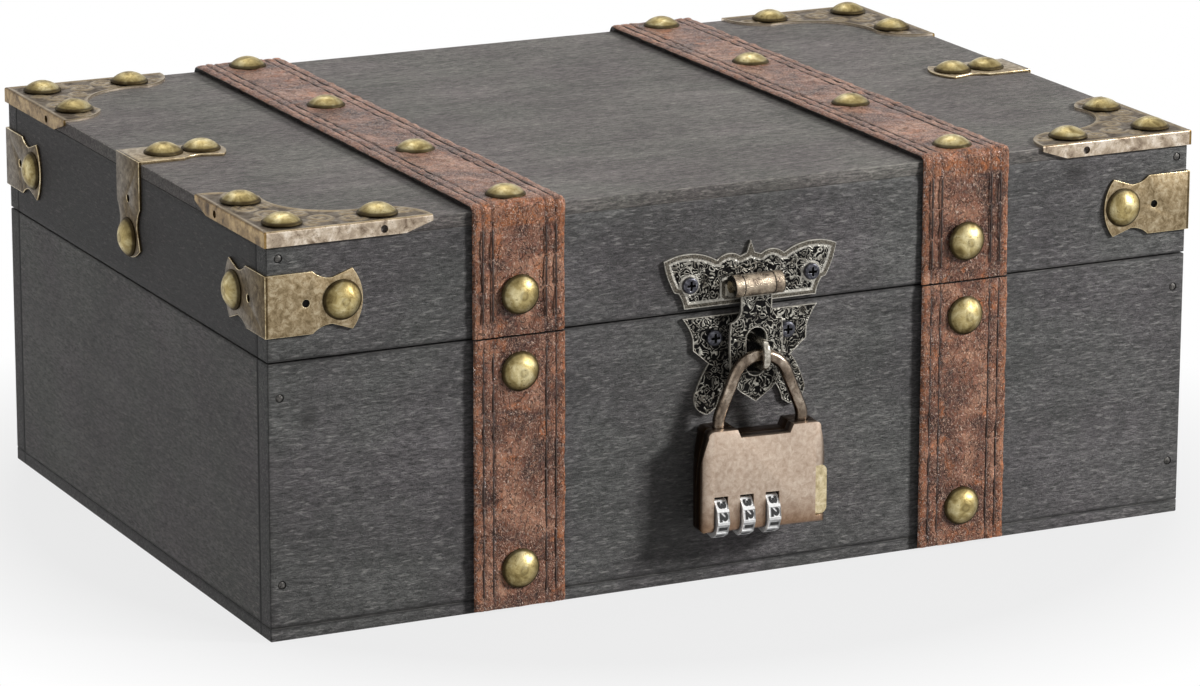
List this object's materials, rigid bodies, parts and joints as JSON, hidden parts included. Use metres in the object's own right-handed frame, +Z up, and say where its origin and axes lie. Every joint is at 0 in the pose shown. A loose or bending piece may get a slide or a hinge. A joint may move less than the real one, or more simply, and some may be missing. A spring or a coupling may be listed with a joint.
{
  "type": "treasure chest box",
  "caption": "Flat-lidded wooden keepsake chest with leather straps, studded brass corners, back hinges and a butterfly hasp held by a small combination padlock.",
  "frame": {"origin": "middle of the underside of the bottom board, on the surface the chest stands on", "axes": "+Z up, -Y towards the front with the hasp, +X towards the right end seen from the front"},
  "size_m": [0.2976, 0.2199, 0.12],
  "materials": {
    "wood": "dark charcoal stain, fine grain, satin",
    "leather": "reddish brown, crinkled, low sheen",
    "steel": "plain",
    "stud_brass": "antique brass, polished on the domes",
    "cap_brass": "embossed antique brass, speckled",
    "hasp_black": "black with a bright raised texture",
    "staple_steel": "polished",
    "dark_steel": "dark zinc",
    "hinge_brass": "antique brass",
    "shackle_brass": "polished pale brass",
    "case_bronze": "pinkish bronze, fine speckle",
    "dial_white": "off-white, satin"
  },
  "bodies": {
    "base": {"bottom_board": "wood", "body_front_panel": "wood", "body_back_panel": "wood", "body_left_panel": "wood", "body_right_panel": "wood", "body_front_strap_left": "leather", "body_front_strap_right": "leather", "body_back_strap_left": "leather", "body_back_strap_right": "leather", "body_brads": "steel", "hinge_pins": "steel", "body_strap_studs": "stud_brass", "staple_plate": "hasp_black", "staple": "staple_steel", "staple_plate_screws": "dark_steel", "hinge_body_leaf_left": "hinge_brass", "hinge_body_leaf_right": "hinge_brass", "hinge_body_screws": "hinge_brass"},
    "lid": {"lid_top_board": "wood", "lid_front_panel": "wood", "lid_back_panel": "wood", "lid_left_panel": "wood", "lid_right_panel": "wood", "lid_strap_left": "leather", "lid_strap_right": "leather", "lid_brads": "steel", "lid_strap_studs": "stud_brass", "corner_cap_studs": "stud_brass", "corner_bracket_studs": "stud_brass", "side_bracket_studs": "stud_brass", "corner_cap_front_left": "cap_brass", "corner_cap_front_right": "cap_brass", "corner_cap_back_left": "cap_brass", "corner_cap_back_right": "cap_brass", "corner_bracket_front_left": "cap_brass", "corner_bracket_front_right": "cap_brass", "corner_bracket_back_left": "cap_brass", "corner_bracket_back_right": "cap_brass", "side_bracket_left": "cap_brass", "side_bracket_right": "cap_brass", "hasp_plate": "hasp_black", "hasp_pin": "staple_steel", "hasp_plate_screws": "dark_steel", "hinge_lid_leaf_left": "hinge_brass", "hinge_lid_leaf_right": "hinge_brass", "hinge_lid_screws": "hinge_brass"},
    "flap": {"hasp_flap": "hasp_black"},
    "shackle": {"padlock_shackle": "shackle_brass"},
    "case": {"padlock_case_front": "case_bronze", "padlock_case_back": "case_bronze", "padlock_case_pins": "steel", "dial_spindle": "steel", "button_spring": "steel", "shackle_spring": "steel"},
    "dial_one": {"dial_1": "dial_white"},
    "dial_two": {"dial_2": "dial_white"},
    "dial_three": {"dial_3": "dial_white"},
    "button": {"release_button": "shackle_brass", "latch_slide": "steel"}
  },
  "joints": [
    {"name": "lid_hinge", "type": "hinge", "parent": "base", "child": "lid", "pos_m": [0, 0.1023, 0.079], "axis": [-1, 0, 0], "range_deg": [0, 145]},
    {"name": "hasp_flap_hinge", "type": "hinge", "parent": "lid", "child": "flap", "pos_m": [0.0015, -0.1044, 0.0863], "axis": [-1, 0, 0], "range_deg": [0, 178]},
    {"name": "padlock_swing", "type": "hinge", "parent": "base", "child": "shackle", "pos_m": [0.0015, -0.10755, 0.0665], "axis": [-1, 0, 0], "range_deg": [0, 150]},
    {"name": "shackle_pop", "type": "slide", "parent": "shackle", "child": "case", "axis": [0, 0, -1], "range_m": [0, 0.008]},
    {"name": "release_button_press", "type": "slide", "parent": "case", "child": "button", "axis": [-0.9962, 0.0872, 0], "range_m": [0, 0.0025], "stiffness_N_per_m": 200, "springref_m": -0.002},
    {"name": "dial_one_turn", "type": "hinge", "parent": "case", "child": "dial_one", "pos_m": [-0.01191, -0.10708, 0.02088], "axis": [0.9962, -0.0872, 0], "continuous": true},
    {"name": "dial_two_turn", "type": "hinge", "parent": "case", "child": "dial_two", "pos_m": [-0.00414, -0.10776, 0.02088], "axis": [0.9962, -0.0872, 0], "continuous": true},
    {"name": "dial_three_turn", "type": "hinge", "parent": "case", "child": "dial_three", "pos_m": [0.00363, -0.10844, 0.02088], "axis": [0.9962, -0.0872, 0], "continuous": true}
  ]
}
